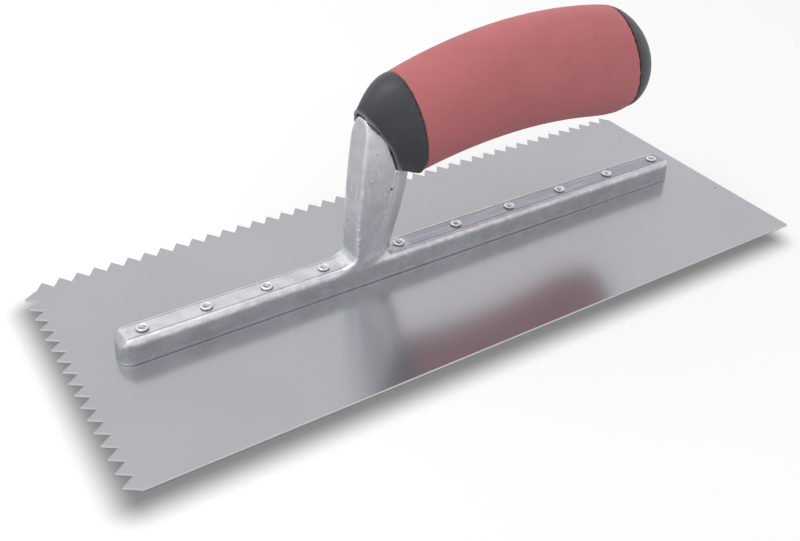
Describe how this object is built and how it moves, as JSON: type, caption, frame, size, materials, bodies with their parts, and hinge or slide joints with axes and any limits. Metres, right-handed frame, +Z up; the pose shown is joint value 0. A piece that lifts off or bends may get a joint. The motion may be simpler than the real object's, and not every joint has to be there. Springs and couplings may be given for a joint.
{
  "type": "notched trowel",
  "caption": "Rectangular steel trowel with V teeth on one short and one long edge, a riveted cast mounting bar, and a raised curved handle with a soft grip.",
  "frame": {"origin": "middle of the blade outline over its tooth tips, on the underside of the blade", "axes": "+X along the blade from its notched short edge to its plain short edge, +Y across the blade towards its notched long edge, +Z up towards the handle"},
  "size_m": [0.2774, 0.1124, 0.0894],
  "materials": {
    "blade_steel": "satin, lightly polished",
    "cast_aluminium": "tumbled casting",
    "rivet_metal": "satin",
    "dark_plastic": "fine matte",
    "soft_grip": "matte",
    "bolt_steel": "zinc plated"
  },
  "bodies": {
    "root": {"blade": "blade_steel", "mounting": "cast_aluminium", "rivet_01": "rivet_metal", "rivet_02": "rivet_metal", "rivet_03": "rivet_metal", "rivet_04": "rivet_metal", "rivet_05": "rivet_metal", "rivet_06": "rivet_metal", "rivet_07": "rivet_metal", "rivet_08": "rivet_metal", "rivet_09": "rivet_metal", "rivet_10": "rivet_metal", "handle_core": "dark_plastic", "grip_sleeve": "soft_grip", "handle_bolt": "bolt_steel", "bolt_washer": "bolt_steel"}
  },
  "joints": []
}
